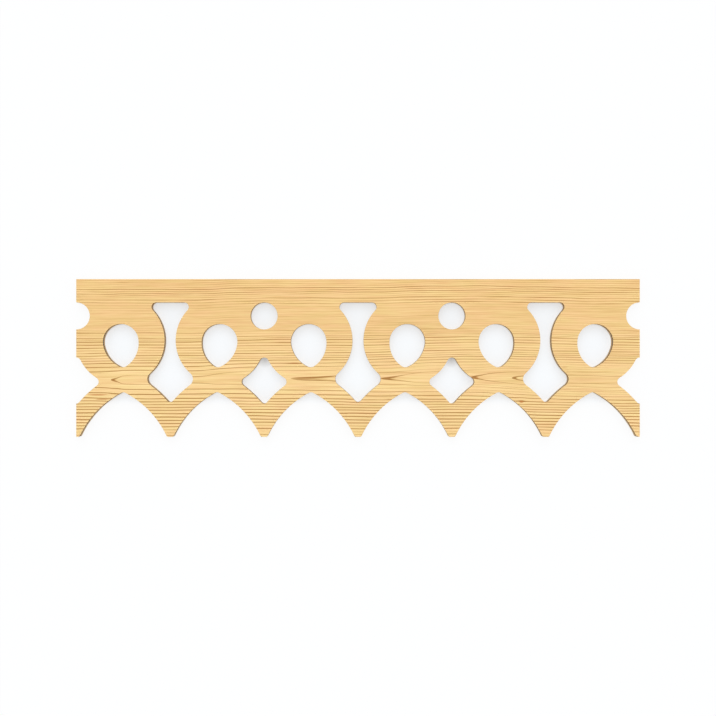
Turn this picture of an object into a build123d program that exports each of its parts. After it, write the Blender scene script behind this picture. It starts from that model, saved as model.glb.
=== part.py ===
# Fretted running trim: a pine board sawn with a repeating row of cut-outs and pointed arches
#
# The board lies on its back: X runs along its length, Y up to its straight top edge and Z out of
# its face. The origin is the middle of the back.
import os

from build123d import *

# Sizes, in mm and degrees
repeat_pitch = 406.4          # one waist slot to the next, 16 in
repeat_count = 3              # whole repeats in the length
board_height = 341.3          # what the fretwork leaves of it is the rail along the top
board_thickness = 19.0

arch_height = 97.7            # the lower edge up to the point of an arch
arch_radius = 204.0           # of both its sides
tip_width = 13.7              # the blunt tip between two arches
tip_corner_radius = 4.0

ring_height = 208.8           # the lower edge up to the middle of the rings that the eggs pierce
ring_merge = 1.0              # how far a ring runs past the axis that it shares with the next
waist_gap = 23.6              # between two rings at the waist of a slot
head_rise = 82.2              # from the middle of the rings up to the tops of slots and round holes
round_hole_diameter = 58.5
slot_band_width = 43.7        # the band of wood between an arch and the waist slot over it
diamond_band_width = 41.6     # and between an arch and the diamond over it
corner_radius = 10.0          # of the corners of slots, diamonds and arches
slot_side_radius = 16.0       # the wider curve of the side corners low in a waist slot
point_radius = 7.5            # at the lowest point of a slot or diamond

egg_radius = 38.6             # the round crown of an egg
egg_crown_shift = 1.1         # from the middle of its ring toward the slot, to the middle of its crown
egg_crown_drop = 3.1          # and down to it
egg_tip_drop = 59.8           # from the middle of the ring down to where its two sides would meet
egg_tip_radius = 15.0
crown_start = -10.0           # the crown's arc begins here, from level, and goes round to the left
crown_sweep = 183.0

board_length = repeat_pitch * repeat_count
lower_edge = -board_height / 2
ring_level = lower_edge + ring_height
head_level = ring_level + head_rise

# Two arches stand in each repeat, each under one egg
arch_pitch = repeat_pitch / 2
ring_radius = (repeat_pitch / 2 - waist_gap / 2 + ring_merge) / 2

# One arch, on its own axis
with BuildSketch() as arch:
    with BuildLine():
        foot = (arch_pitch - tip_width) / 2
        side = RadiusArc((-foot, lower_edge), (0, lower_edge + arch_height), arch_radius)
        mirror(side, Plane.YZ)
        Line((-foot, lower_edge), (foot, lower_edge))
    make_face()
    fillet(arch.vertices().sort_by(Axis.Y)[-1], corner_radius)

# Ring and arch centres as seen from the axis of a waist slot, and from that of a diamond
slot_ring_offset = waist_gap / 2 + ring_radius
diamond_ring_offset = ring_radius - ring_merge
arch_side_offset = arch_pitch / 2 + side.arc_center.X
arch_side_level = side.arc_center.Y


def space_between_rings(top_level, ring_offset, band_width, side_radius):
    """The space under top_level between two rings, and over the bands along two arches."""
    with BuildSketch() as space:
        with Locations((0, top_level)):
            Rectangle(arch_pitch, top_level - lower_edge, align=(Align.CENTER, Align.MAX))
        with Locations((-ring_offset, ring_level), (ring_offset, ring_level)):
            Circle(ring_radius, mode=Mode.SUBTRACT)
        with Locations((-arch_side_offset, arch_side_level), (arch_side_offset, arch_side_level)):
            Circle(arch_radius + band_width, mode=Mode.SUBTRACT)
        side_corners = space.vertices().sort_by(Axis.Y)[1:3]
        fillet(side_corners, side_radius)
        fillet(space.vertices().sort_by(Axis.Y)[0], point_radius)
        fillet(space.vertices().group_by(Axis.Y)[-1], corner_radius)
    return space.sketch


# Waist slot: its head is level. Diamond: closed above where its two rings merge
waist_slot = space_between_rings(head_level, slot_ring_offset, slot_band_width, slot_side_radius)
diamond = space_between_rings(ring_level, diamond_ring_offset, diamond_band_width, corner_radius)

# Round hole: over the diamond, its top in line with the tops of the waist slots
with BuildSketch() as round_hole:
    with Locations((0, head_level - round_hole_diameter / 2)):
        Circle(round_hole_diameter / 2)

# Two eggs, one each side of a waist slot: the crown low in its ring, the tip over the point of an arch
with BuildSketch() as egg_pair:
    with BuildLine():
        egg_tip = (arch_pitch / 2, ring_level - egg_tip_drop)
        crown_centre = (slot_ring_offset - egg_crown_shift, ring_level - egg_crown_drop)
        crown = CenterArc(crown_centre, egg_radius, crown_start, crown_sweep)
        TangentArc(crown @ 1, egg_tip, tangent=crown % 1)
        TangentArc(crown @ 0, egg_tip, tangent=-(crown % 0))
    make_face()
    fillet(egg_pair.vertices().sort_by(Axis.Y)[0], egg_tip_radius)
    mirror(egg_pair.sketch, Plane.YZ)

# The board: half a round hole and half a diamond at each end meet those of the next length
with BuildPart() as trim_board:
    with BuildSketch() as face:
        Rectangle(board_length, board_height)
        with GridLocations(repeat_pitch, 0, repeat_count, 1):
            add(waist_slot, mode=Mode.SUBTRACT)
            add(egg_pair.sketch, mode=Mode.SUBTRACT)
        with GridLocations(repeat_pitch, 0, repeat_count + 1, 1):
            add(round_hole.sketch, mode=Mode.SUBTRACT)
            add(diamond, mode=Mode.SUBTRACT)
        with GridLocations(arch_pitch, 0, 2 * repeat_count, 1):
            add(arch.sketch, mode=Mode.SUBTRACT)
        tip_corners = face.vertices().group_by(Axis.Y)[0].sort_by(Axis.X)[1:-1]
        fillet(tip_corners, tip_corner_radius)
    extrude(amount=board_thickness)
trim_board.part.label = "trim_board"

os.makedirs("parts", exist_ok=True)
export_step(trim_board.part, "parts/trim_board.step")
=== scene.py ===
from math import pi, radians

import bpy
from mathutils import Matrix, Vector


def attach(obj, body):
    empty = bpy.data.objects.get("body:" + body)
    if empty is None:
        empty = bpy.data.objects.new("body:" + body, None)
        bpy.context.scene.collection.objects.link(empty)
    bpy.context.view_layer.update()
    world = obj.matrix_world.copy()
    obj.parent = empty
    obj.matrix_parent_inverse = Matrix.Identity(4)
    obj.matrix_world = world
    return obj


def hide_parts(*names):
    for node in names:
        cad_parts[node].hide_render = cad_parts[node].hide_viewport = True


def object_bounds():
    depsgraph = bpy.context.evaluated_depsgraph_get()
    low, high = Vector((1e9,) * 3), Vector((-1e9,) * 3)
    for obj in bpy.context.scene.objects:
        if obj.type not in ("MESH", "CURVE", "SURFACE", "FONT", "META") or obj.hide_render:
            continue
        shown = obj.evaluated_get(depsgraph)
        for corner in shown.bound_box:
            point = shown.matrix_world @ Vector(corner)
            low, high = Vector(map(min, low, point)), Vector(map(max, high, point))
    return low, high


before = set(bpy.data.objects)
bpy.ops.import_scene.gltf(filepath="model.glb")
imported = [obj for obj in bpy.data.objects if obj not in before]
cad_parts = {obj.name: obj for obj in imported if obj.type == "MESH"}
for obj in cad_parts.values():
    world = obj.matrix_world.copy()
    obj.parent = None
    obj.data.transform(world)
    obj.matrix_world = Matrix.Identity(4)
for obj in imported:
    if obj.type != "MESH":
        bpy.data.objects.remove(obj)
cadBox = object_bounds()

# Fretted pine trim board, face up on a white table and seen from straight above.
# Metres, in the frame of the CAD model: x along the board, y to its straight edge, z out of its face.


def toLinear(colour):  # 0-255 as a picture shows it, to the shader's linear values
    parts = [c / 255 for c in colour]
    return [c / 12.92 if c < 0.04045 else ((c + 0.055) / 1.055) ** 2.4 for c in parts] + [1]


# helpers for nodes: a value is a socket or a plain number
def addNode(tree, kind, **fields):
    made = tree.nodes.new(kind)
    for name, value in fields.items():
        setattr(made, name, value)
    return made


def feed(tree, value, target):
    if isinstance(value, bpy.types.NodeSocket):
        tree.links.new(value, target)
    else:
        target.default_value = value


def calc(tree, operation, *values):
    made = addNode(tree, "ShaderNodeMath", operation=operation)
    for value, target in zip(values, made.inputs):
        feed(tree, value, target)
    return made.outputs[0]


def squareSum(tree, first, second):
    return calc(tree, "ADD", calc(tree, "MULTIPLY", first, first), calc(tree, "MULTIPLY", second, second))


def span(tree, value, low, high, newLow=0.0, newHigh=1.0, ease="LINEAR"):
    made = addNode(tree, "ShaderNodeMapRange", interpolation_type=ease)
    for item, target in zip((value, low, high, newLow, newHigh), made.inputs):
        feed(tree, item, target)
    return made.outputs[0]


def graph(tree, value, points, handle="AUTO"):  # a drawn curve through (value, result) points
    low, high = points[0][0], points[-1][0]
    results = [result for _, result in points]
    least, most = min(results), max(results)
    made = addNode(tree, "ShaderNodeFloatCurve")
    curve = made.mapping.curves[0]
    for index, (at, result) in enumerate(points):
        spot = ((at - low) / (high - low), (result - least) / (most - least))
        if index in (0, len(points) - 1):
            knot = curve.points[0 if index == 0 else -1]
            knot.location = spot
        else:
            knot = curve.points.new(*spot)
        knot.handle_type = handle
    made.mapping.update()
    feed(tree, span(tree, value, low, high), made.inputs["Value"])
    return span(tree, made.outputs[0], 0, 1, least, most)


def noise(tree, place, stretch, detail, rough):  # stretch: waves a metre in x, y and z
    scaled = addNode(tree, "ShaderNodeVectorMath", operation="MULTIPLY")
    feed(tree, place, scaled.inputs[0])
    scaled.inputs[1].default_value = stretch
    made = addNode(tree, "ShaderNodeTexNoise")
    feed(tree, scaled.outputs[0], made.inputs["Vector"])
    made.inputs["Scale"].default_value = 1
    made.inputs["Detail"].default_value = detail
    made.inputs["Roughness"].default_value = rough
    return made.outputs[0]


def blend(tree, amount, first, second, mode="MIX"):  # 6, 7 and 2 are the node's colour sockets
    made = addNode(tree, "ShaderNodeMix", data_type="RGBA", blend_type=mode)
    feed(tree, amount, made.inputs[0])
    feed(tree, first, made.inputs[6])
    feed(tree, second, made.inputs[7])
    return made.outputs[2]


# pine: growth rings round a pith that runs under the face and rises to the right
pine = {
    # the pith's depth under the face, and its y, both along x
    "pithDepth": [(-0.61, 0.0326), (-0.545, 0.0318), (-0.5345, 0.0314), (-0.5205, 0.031), (-0.5035, 0.0299),
                  (-0.45, 0.0296), (-0.355, 0.0305), (-0.298, 0.029), (-0.244, 0.0277), (-0.145, 0.0262),
                  (-0.054, 0.0254), (0.044, 0.0227), (0.07, 0.0223), (0.091, 0.0218), (0.1146, 0.0206),
                  (0.13, 0.0197), (0.18, 0.0184), (0.243, 0.0162), (0.264, 0.0154), (0.2854, 0.0138),
                  (0.318, 0.0112), (0.33, 0.01), (0.341, 0.0092), (0.352, 0.0083), (0.458, 0.0043),
                  (0.61, 0.0039)],
    "pithLevel": [(-0.61, -0.0472), (-0.36, -0.0474), (-0.24, -0.0441), (0.0, -0.0442), (0.05, -0.0439),
                  (0.1, -0.0425), (0.13, -0.042), (0.243, -0.041), (0.3, -0.0416), (0.3525, -0.0433),
                  (0.44, -0.0454), (0.61, -0.0476)],

    # rings counted out to a radius, below the pith and above it
    "ringsBelow": [(0.0, 0), (0.0099, 1), (0.0162, 2), (0.0227, 3), (0.0262, 4), (0.0314, 5), (0.0368, 6),
                   (0.0517, 8), (0.0731, 12), (0.0802, 13), (0.0936, 15), (0.119, 19), (0.24, 40)],
    "ringsAbove": [(0.0, 0), (0.0099, 1), (0.0162, 2), (0.0227, 3), (0.0262, 4), (0.0314, 5), (0.0368, 6),
                   (0.048, 8), (0.0562, 10), (0.0763, 14), (0.0887, 16), (0.0958, 18), (0.1124, 21),
                   (0.1362, 26), (0.1406, 27), (0.1486, 28), (0.1702, 32), (0.1767, 33), (0.1892, 36),
                   (0.2126, 41), (0.24, 47)],
    "sideChange": 0.35,              # how gently one count turns into the other
    "wander": 0.003,                 # how far the rings stray from round, in slow and in short waves

    # the dark line that closes a ring: its share of the ring by radius, its profile, its strength
    "lateShare": [(0.0, 0.12), (0.0226, 0.1), (0.0232, 0.2), (0.0261, 0.2), (0.0266, 0.09), (0.0314, 0.065),
                  (0.036, 0.2), (0.055, 0.35), (0.08, 0.38), (0.24, 0.4)],
    "lateProfile": [(0.0, 0.0), (0.3, 0.4), (0.6, 1.0), (0.9, 1.0), (1.0, 0.0)],
    "lineStrength": [(-0.171, 0.6), (-0.157, 0.85), (-0.146, 1.2), (-0.115, 1.3), (-0.07, 1.3),
                     (-0.045, 1.28), (-0.01, 1.2), (0.03, 1.05), (0.05, 0.7), (0.06, 0.4), (0.075, 0.28),
                     (0.112, 0.33), (0.12, 0.75), (0.14, 0.88), (0.171, 0.82)],       # along y
    "yearToYear": (0.3, 1.15),       # weakest and strongest line, but for these years
    "knownYears": {"above": {1: 0.95, 2: 0.95, 3: 0.6, 4: 0.55, 5: 0.85, 6: 1.2, 7: 1.2, 8: 1.2, 36: 1.1,
                             38: 1.1},
                   "below": {1: 0.95, 2: 0.95, 3: 0.65, 4: 0.75, 5: 0.85, 6: 1.2, 7: 1.2, 12: 1.3, 13: 1.3,
                             15: 1.3}},
    "alongLine": (0.5, 1.3),         # and how a line weakens and strengthens on its way

    # waves a metre in x, y and z, detail and roughness
    "noises": {"slowWander": ((2.2, 7, 7), 1, 0.5), "shortWander": ((12, 35, 35), 1, 0.5),
               "alongLine": ((11, 160, 160), 3, 0.5), "blotches": ((3, 16, 16), 2, 0.5),
               "streaks": ((6, 300, 300), 3, 0.6), "fibres": ((16, 700, 700), 2, 0.6),
               "patches": ((14, 90, 90), 3, 0.6), "sawMarks": ((520, 520, 25), 2, 0.5)},
    "mostly": (0.3, 0.7),            # what such a noise gives nearly everywhere

    # colour: the tone scale, the tone of early wood along y, and how much the noises vary it
    "tones": [(0.0, (255, 225, 162)), (0.35, (241, 203, 140)), (0.7, (213, 173, 108)),
              (1.0, (174, 124, 60))],
    "plainTone": [(-0.171, 0.2), (-0.07, 0.21), (-0.045, 0.27), (-0.01, 0.21), (0.045, 0.22),
                  (0.06, 0.33), (0.11, 0.33), (0.125, 0.24), (0.171, 0.28)],
    "blotches": 0.24,
    "fibres": 0.68,
    "streaks": 0.44,                 # and, near the pith, this many times stronger
    "youngWood": [(-0.171, 1), (-0.08, 1), (-0.065, 2.6), (-0.03, 2.6), (-0.012, 1), (0.171, 1)],
    "warmth": [(-0.171, 0.0), (0.0, 0.3), (0.1, 0.6), (0.15, 1.0), (0.171, 1.0)],     # along y
    "warmTint": (253, 248, 243),
    "patches": [(255, 250, 253), (252, 255, 249)],  # pinker and yellower wood, patch by patch
    "patchEdges": (0.35, 0.65),

    # sawn walls with painted shade, and eased edges with a painted highlight
    "paintedShadeAtFace": (88, 65, 44),       # painted shade: the share of the wood's colour the walls keep next to the face
    "paintedShadeAtBack": (255, 241, 222),     # and next to the back, where the painted shade is nearly gone
    "paintedWallShade": (0.5, 0.76),          # the change from one to the other, as shares of the thickness
    "planed": 0.0006,                # this near to the top edge and the ends nothing is sawn
    "sawMarks": (0.85, 1.1),
    "endShade": 0.8,                 # cut across the grain the walls are darker
    "wallFrom": (0.8, 0.4),          # how level a surface is where it turns into a wall
    "easedFrom": (0.995, 0.9),       # and into an eased edge
    "paintedEdgeHighlight": 0.7,                   # painted highlight: how pale the eased edges are painted

    # pin knots and bark flecks: x, y, half length, half height, push, depth of colour
    "flaws": [(0.3535, -0.0945, 0.009, 0.0052, 0.0042, 0.75),
              (-0.1365, -0.0109, 0.02, 0.0026, 0.002, 0.5),
              (-0.556, -0.0815, 0.025, 0.005, 0.004, 0.0),
              (-0.563, -0.0798, 0.042, 0.0028, 0.0003, 0.85),
              (-0.553, -0.0893, 0.03, 0.0026, 0.0002, 0.7),
              (0.446, -0.0208, 0.013, 0.006, 0.0045, 0.2),
              (0.2575, -0.0435, 0.006, 0.004, 0.001, 0.3)],
    "resin": (192, 120, 56),
    "resinEdge": (0.4, 0.05),

    # shine and relief
    "roughness": (0.5, 0.66),
    "fibreSwing": 0.2,               # the fibre noise, this much either way, that gives them
    "specular": 0.3,
    "reliefDepth": 0.00012,
    "relief": 0.6,
    "raisedLines": 0.6,
    "sunkenFibres": 0.4,
}


def pineNoise(tree, place, name):
    return noise(tree, place, *pine["noises"][name])


def aboutZero(tree, place, name):  # a noise's own middle is 0.5
    return calc(tree, "SUBTRACT", pineNoise(tree, place, name), 0.5)


def flawsInGrain(tree, x, y):  # how far they push the grain aside, and how dark they are
    push, fleck = 0.0, 0.0
    for flawX, flawY, length, height, shove, depth in pine["flaws"]:
        along = calc(tree, "DIVIDE", calc(tree, "SUBTRACT", x, flawX), length)
        aside = calc(tree, "DIVIDE", calc(tree, "SUBTRACT", y, flawY), height)
        apart = squareSum(tree, along, aside)
        near = calc(tree, "EXPONENT", calc(tree, "MULTIPLY", apart, -1.0))
        shoved = calc(tree, "MULTIPLY", calc(tree, "MULTIPLY", near, aside), shove)
        push = calc(tree, "ADD", push, shoved)
        if depth:
            heart = span(tree, apart, *pine["resinEdge"], ease="SMOOTHSTEP")
            fleck = calc(tree, "MAXIMUM", fleck, calc(tree, "MULTIPLY", heart, depth))
    return push, fleck


def ringLines(tree, place, x, y, z, push):
    # distance from the pith
    slow = calc(tree, "MULTIPLY", aboutZero(tree, place, "slowWander"), pine["wander"])
    short = calc(tree, "MULTIPLY", aboutZero(tree, place, "shortWander"), pine["wander"])
    moved = calc(tree, "SUBTRACT", calc(tree, "ADD", y, calc(tree, "ADD", slow, short)), push)
    across = calc(tree, "SUBTRACT", moved, graph(tree, x, pine["pithLevel"]))
    underFace = calc(tree, "SUBTRACT", z, cadBox[1][2])
    deep = calc(tree, "ADD", underFace, graph(tree, x, pine["pithDepth"]))
    radius = calc(tree, "SQRT", squareSum(tree, across, deep))

    # rings out to that distance
    change = pine["sideChange"]
    upper = span(tree, calc(tree, "DIVIDE", across, radius), -change, change, ease="SMOOTHSTEP")
    lower = calc(tree, "SUBTRACT", 1.0, upper)
    below = graph(tree, radius, pine["ringsBelow"], "VECTOR")
    above = graph(tree, radius, pine["ringsAbove"], "VECTOR")
    rings = calc(tree, "ADD", calc(tree, "MULTIPLY", above, upper), calc(tree, "MULTIPLY", below, lower))
    year = calc(tree, "FLOOR", rings)
    season = calc(tree, "FRACT", rings)

    # latewood: the last part of a ring darkens quickly and stops short
    spring = calc(tree, "SUBTRACT", 1.0, graph(tree, radius, pine["lateShare"], "VECTOR"))
    late = graph(tree, span(tree, season, spring, 1.0), pine["lateProfile"])
    perYear = addNode(tree, "ShaderNodeTexWhiteNoise", noise_dimensions="1D")
    feed(tree, year, perYear.inputs["W"])
    yearly = span(tree, perYear.outputs["Value"], 0, 1, *pine["yearToYear"])
    halfYear = 0.5
    for side, share in (("above", upper), ("below", lower)):
        for number, force in pine["knownYears"][side].items():  # the line that closes this year
            isYear = calc(tree, "MULTIPLY", calc(tree, "COMPARE", year, number - 1, halfYear), share)
            yearly = span(tree, isYear, 0, 1, yearly, force)
    uneven = span(tree, pineNoise(tree, place, "alongLine"), *pine["mostly"], *pine["alongLine"])
    strength = calc(tree, "MULTIPLY", yearly, uneven)
    strength = calc(tree, "MULTIPLY", strength, graph(tree, y, pine["lineStrength"]))
    return calc(tree, "MULTIPLY", late, strength)


def woodColour(tree, place, y, line, fibre):  # everything that darkens the wood adds to one tone
    tone = calc(tree, "MULTIPLY", aboutZero(tree, place, "blotches"), pine["blotches"])
    tone = calc(tree, "ADD", tone, graph(tree, y, pine["plainTone"]))
    streak = calc(tree, "MULTIPLY", aboutZero(tree, place, "streaks"), graph(tree, y, pine["youngWood"]))
    tone = calc(tree, "ADD", tone, calc(tree, "MULTIPLY", streak, pine["streaks"]))
    tone = calc(tree, "ADD", tone, calc(tree, "MULTIPLY", fibre, pine["fibres"]))
    tone = calc(tree, "ADD", tone, line)
    scale = addNode(tree, "ShaderNodeValToRGB")
    marks = scale.color_ramp.elements
    for index, (at, colour) in enumerate(pine["tones"]):
        mark = marks[index] if index < 2 else marks.new(at)
        mark.position = at
        mark.color = toLinear(colour)
    feed(tree, tone, scale.inputs[0])
    warmth = graph(tree, y, pine["warmth"])
    wood = blend(tree, warmth, scale.outputs[0], toLinear(pine["warmTint"]), "MULTIPLY")
    patch = span(tree, pineNoise(tree, place, "patches"), *pine["patchEdges"])
    pink, yellow = [toLinear(colour) for colour in pine["patches"]]
    return blend(tree, 1.0, wood, blend(tree, patch, pink, yellow), "MULTIPLY")


def sawnColourAndShade(tree, place, x, y, z, sideways, wood):  # painted shade, darkest at the face's edge; saw marks; end grain darker across the grain
    planed = pine["planed"]
    sawn = calc(tree, "LESS_THAN", calc(tree, "ABSOLUTE", x), cadBox[1][0] - planed)
    sawn = calc(tree, "MULTIPLY", sawn, calc(tree, "LESS_THAN", y, cadBox[1][1] - planed))
    sawMarks = span(tree, pineNoise(tree, place, "sawMarks"), *pine["mostly"], *pine["sawMarks"])
    sawMarks = span(tree, sawn, 0, 1, 1, sawMarks)
    endGrain = span(tree, calc(tree, "ABSOLUTE", sideways), 0, 1, 1, pine["endShade"])
    # painted shade: the sawn walls darken towards the face, as walls in shadow do
    paleTo, darkFrom = [share * cadBox[1][2] for share in pine["paintedWallShade"]]
    paintedWallShade = span(tree, z, paleTo, darkFrom, ease="SMOOTHSTEP")
    paintedWallShade = calc(tree, "MULTIPLY", paintedWallShade, sawn)
    shade = blend(tree, paintedWallShade, toLinear(pine["paintedShadeAtBack"]), toLinear(pine["paintedShadeAtFace"]))
    shade = blend(tree, 1.0, shade, calc(tree, "MULTIPLY", sawMarks, endGrain), "MULTIPLY")
    return blend(tree, 1.0, wood, shade, "MULTIPLY")


def pineMaterial():  # solid wood: face, edges and sawn walls cut through the same rings
    made = bpy.data.materials.new("flatSawnPine")
    made.use_nodes = True
    tree = made.node_tree
    shader = tree.nodes["Principled BSDF"]
    places = addNode(tree, "ShaderNodeTexCoord")
    place = places.outputs["Object"]
    split = addNode(tree, "ShaderNodeSeparateXYZ")
    feed(tree, place, split.inputs[0])
    x, y, z = split.outputs
    normals = addNode(tree, "ShaderNodeSeparateXYZ")
    feed(tree, places.outputs["Normal"], normals.inputs[0])
    facing = calc(tree, "ABSOLUTE", normals.outputs[2])

    push, fleck = flawsInGrain(tree, x, y)
    line = ringLines(tree, place, x, y, z, push)
    fibre = aboutZero(tree, place, "fibres")
    wood = woodColour(tree, place, y, line, fibre)
    wood = blend(tree, fleck, wood, toLinear(pine["resin"]))
    # painted highlight: the eased edges are painted paler
    paintedEdgeHighlight = calc(tree, "MULTIPLY", span(tree, facing, *pine["easedFrom"]), pine["paintedEdgeHighlight"])
    wood = blend(tree, paintedEdgeHighlight, wood, toLinear(pine["tones"][0][1]))
    cut = sawnColourAndShade(tree, place, x, y, z, normals.outputs[0], wood)
    wall = span(tree, facing, *pine["wallFrom"])
    feed(tree, blend(tree, wall, wood, cut), shader.inputs["Base Color"])

    swing = pine["fibreSwing"]
    feed(tree, span(tree, fibre, -swing, swing, *pine["roughness"]), shader.inputs["Roughness"])
    shader.inputs["Specular IOR Level"].default_value = pine["specular"]
    bump = addNode(tree, "ShaderNodeBump")
    bump.inputs["Distance"].default_value = pine["reliefDepth"]
    bump.inputs["Strength"].default_value = pine["relief"]
    raised = calc(tree, "MULTIPLY", line, pine["raisedLines"])
    sunken = calc(tree, "MULTIPLY", fibre, pine["sunkenFibres"])
    feed(tree, calc(tree, "SUBTRACT", raised, sunken), bump.inputs["Height"])
    feed(tree, bump.outputs[0], shader.inputs["Normal"])
    print("pine:", len(tree.nodes), "nodes")
    return made


# board: a copy of the CAD board with its arrises eased
board = {
    "mergeWithin": 0.000001,         # corners of the CAD triangles
    "flatWithin": radians(0.5),      # triangles that make one flat face
    "anyShape": radians(180),
    "arris": 0.0003,                 # how far the edges are eased
    "arrisSteps": 2,
    "sharpFrom": radians(40),        # the turn from which an edge is eased
    "flatWeight": 100,               # keeps the large faces flat in the shading
}


def easedBoard():
    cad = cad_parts["trim_board"]
    piece = bpy.data.objects.new("fretted_board", cad.data.copy())
    bpy.context.scene.collection.objects.link(piece)
    bpy.ops.object.select_all(action="DESELECT")
    piece.select_set(True)
    bpy.context.view_layer.objects.active = piece
    bpy.ops.object.mode_set(mode="EDIT")
    bpy.ops.mesh.select_all(action="SELECT")
    bpy.ops.mesh.remove_doubles(threshold=board["mergeWithin"])
    bpy.ops.mesh.tris_convert_to_quads(face_threshold=board["flatWithin"], shape_threshold=board["anyShape"])
    bpy.ops.object.mode_set(mode="OBJECT")
    bpy.ops.object.shade_smooth()
    bevel = piece.modifiers.new("arris", "BEVEL")
    bevel.width = board["arris"]
    bevel.segments = board["arrisSteps"]
    bevel.limit_method = "ANGLE"
    bevel.angle_limit = board["sharpFrom"]
    bevel.use_clamp_overlap = False
    bpy.ops.object.modifier_apply(modifier=bevel.name)
    for corner in piece.data.vertices:  # the easing stays inside the board's length and height
        corner.co.x = min(max(corner.co.x, cadBox[0][0]), cadBox[1][0])
        corner.co.y = min(max(corner.co.y, cadBox[0][1]), cadBox[1][1])
    flat = piece.modifiers.new("flatFaces", "WEIGHTED_NORMAL")
    flat.mode = "FACE_AREA"
    flat.weight = board["flatWeight"]
    bpy.ops.object.modifier_apply(modifier=flat.name)
    piece.data.materials.clear()
    piece.data.materials.append(pineMaterial())
    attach(piece, "root")
    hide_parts("trim_board")
    print("board:", len(piece.data.polygons), "faces")


easedBoard()

# stage: white table, soft light from above
stage = {
    "tableSize": 14,
    "gap": 0.0003,                   # under the board's back
    "tableBounce": 0.45,             # how much light the table gives back to the cut walls
    "edgeInset": 0.05,               # the table is clear white from here to past the board's ends
    "clearFrom": -0.085,             # and below this y, among the arches
    "clearFade": 0.02,
    "clearShare": 0.85,              # how much of a clear white table is its own light
    "holeShare": 0.45,               # and how much of what shows in the cut-outs
    "holeGlow": [(-0.171, 1.06), (0.0, 1.06), (0.1, 1.01), (0.171, 0.99)],  # that light along y, painted a little dimmer towards the top edge
    "coolGlow": (0.95, 0.975, 1),    # its colour, so that the shadows turn a little blue
    "paper": (0.94, 0.97, 1),
    "cusp": (0.2032, -0.002),        # the top of a diamond, where a painted shadow makes the table darkest
    "cuspReach": 0.02,
    "cuspShade": 0.35,
    "lamps": {"overheadSoftbox": (0.27, radians(18), radians(-3)),
              "windowLight": (0.2, radians(45), radians(-38))},  # share of the light, width, tilt about x
    "lampHeight": 3,
    "skyShare": 0.6,
}


def seenDirectly(tree):  # camera rays, and what metal or glass would show
    path = addNode(tree, "ShaderNodeLightPath")
    mirrored = calc(tree, "MAXIMUM", path.outputs["Is Glossy Ray"], path.outputs["Is Transmission Ray"])
    return calc(tree, "MAXIMUM", path.outputs["Is Camera Ray"], mirrored)


def clearParts(tree, x, y):  # past the ends and the top edge, among the arches, and the underside
    fade = stage["clearFade"]
    endsFrom = cadBox[1][0] - stage["edgeInset"]
    topAt = cadBox[1][1]
    archesFrom = stage["clearFrom"]
    ends = span(tree, calc(tree, "ABSOLUTE", x), endsFrom - fade, endsFrom, ease="SMOOTHSTEP")
    arches = span(tree, y, archesFrom, archesFrom - fade, ease="SMOOTHSTEP")
    top = span(tree, y, topAt - fade, topAt, ease="SMOOTHSTEP")
    clear = calc(tree, "MAXIMUM", ends, calc(tree, "MAXIMUM", arches, top))
    underside = addNode(tree, "ShaderNodeNewGeometry").outputs["Backfacing"]
    return calc(tree, "MAXIMUM", clear, underside)


# the table's own light in the cut-outs, with a painted shade towards the top edge and a painted shadow under
# the cusps of the diamonds
def holeLight(tree, x, y):
    cuspX, cuspY = stage["cusp"]
    aside = calc(tree, "SUBTRACT", calc(tree, "ABSOLUTE", x), cuspX)
    under = calc(tree, "SUBTRACT", y, cuspY)
    away = calc(tree, "SQRT", squareSum(tree, aside, under))
    shaded = span(tree, away, 0, stage["cuspReach"], stage["cuspShade"], 1)
    return calc(tree, "MULTIPLY", graph(tree, y, stage["holeGlow"]), shaded)


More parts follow.
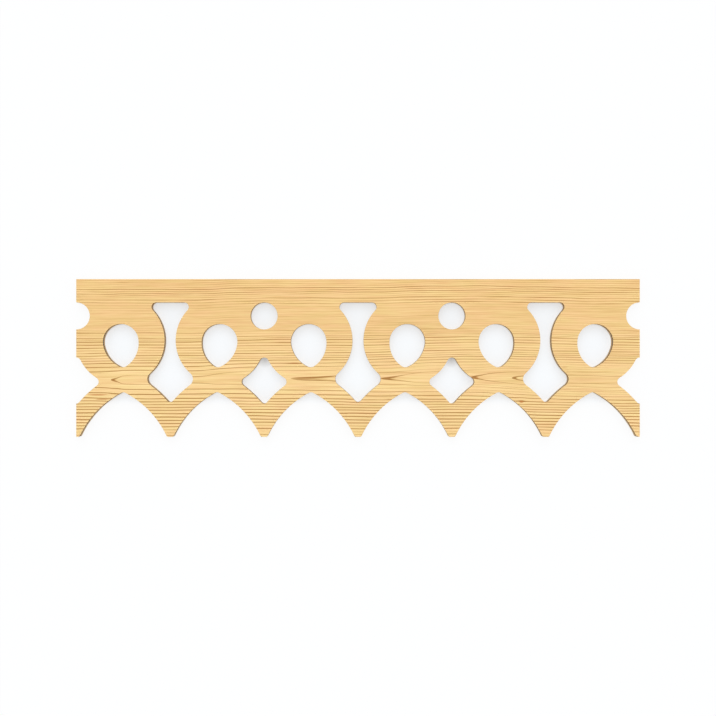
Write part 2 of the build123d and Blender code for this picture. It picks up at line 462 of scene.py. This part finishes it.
def tableMaterial():  # part its own light, part paper that takes the board's shadow; dim to other rays
    made = bpy.data.materials.new("whiteTable")
    made.use_nodes = True
    tree = made.node_tree
    tree.nodes.remove(tree.nodes["Principled BSDF"])
    output = tree.nodes["Material Output"]
    split = addNode(tree, "ShaderNodeSeparateXYZ")
    feed(tree, addNode(tree, "ShaderNodeTexCoord").outputs["Object"], split.inputs[0])
    x, y = split.outputs[0], split.outputs[1]
    clear = clearParts(tree, x, y)

    paper = addNode(tree, "ShaderNodeBsdfDiffuse")
    paper.inputs["Color"].default_value = (*stage["paper"], 1)
    glow = addNode(tree, "ShaderNodeEmission")
    feed(tree, blend(tree, clear, (*stage["coolGlow"], 1), (1, 1, 1, 1)), glow.inputs["Color"])
    feed(tree, span(tree, clear, 0, 1, holeLight(tree, x, y), 1), glow.inputs["Strength"])
    seen = addNode(tree, "ShaderNodeMixShader")
    feed(tree, span(tree, clear, 0, 1, stage["holeShare"], stage["clearShare"]), seen.inputs[0])
    tree.links.new(paper.outputs[0], seen.inputs[1])
    tree.links.new(glow.outputs[0], seen.inputs[2])

    dim = addNode(tree, "ShaderNodeBsdfDiffuse")
    dim.inputs["Color"].default_value = [stage["tableBounce"]] * 3 + [1]
    both = addNode(tree, "ShaderNodeMixShader")
    feed(tree, seenDirectly(tree), both.inputs[0])
    tree.links.new(dim.outputs[0], both.inputs[1])
    tree.links.new(seen.outputs[0], both.inputs[2])
    tree.links.new(both.outputs[0], output.inputs["Surface"])
    return made


def makeTable():
    bpy.ops.object.select_all(action="DESELECT")
    bpy.ops.mesh.primitive_plane_add(size=stage["tableSize"], location=(0, 0, -stage["gap"]))
    table = bpy.context.active_object
    table.name = "table"
    table.data.materials.append(tableMaterial())


def lightStage():
    for name, (share, width, tilt) in stage["lamps"].items():
        bpy.ops.object.light_add(type="SUN", location=(0, 0, stage["lampHeight"]), rotation=(tilt, 0, 0))
        sun = bpy.context.active_object
        sun.name = name
        sun.data.energy = pi * share
        sun.data.angle = width
    world = bpy.data.worlds.new("studio")
    bpy.context.scene.world = world
    world.use_nodes = True
    tree = world.node_tree
    background = tree.nodes["Background"]
    background.inputs["Color"].default_value = (1, 1, 1, 1)
    feed(tree, span(tree, seenDirectly(tree), 0, 1, stage["skyShare"], 1), background.inputs["Strength"])


# shot: straight down, as the photo was taken
shot = {
    "above": 2.362,                  # camera over the board's face
    "lens": 54.9,
}


def setCamera():
    bpy.ops.object.camera_add(location=(0, 0, cadBox[1][2] + shot["above"]), rotation=(0, 0, 0))
    camera = bpy.context.active_object
    camera.data.lens = shot["lens"]
    bpy.context.scene.camera = camera
    bpy.context.scene.view_settings.view_transform = "Standard"


makeTable()
lightStage()
setCamera()
print("table, light and camera are set")
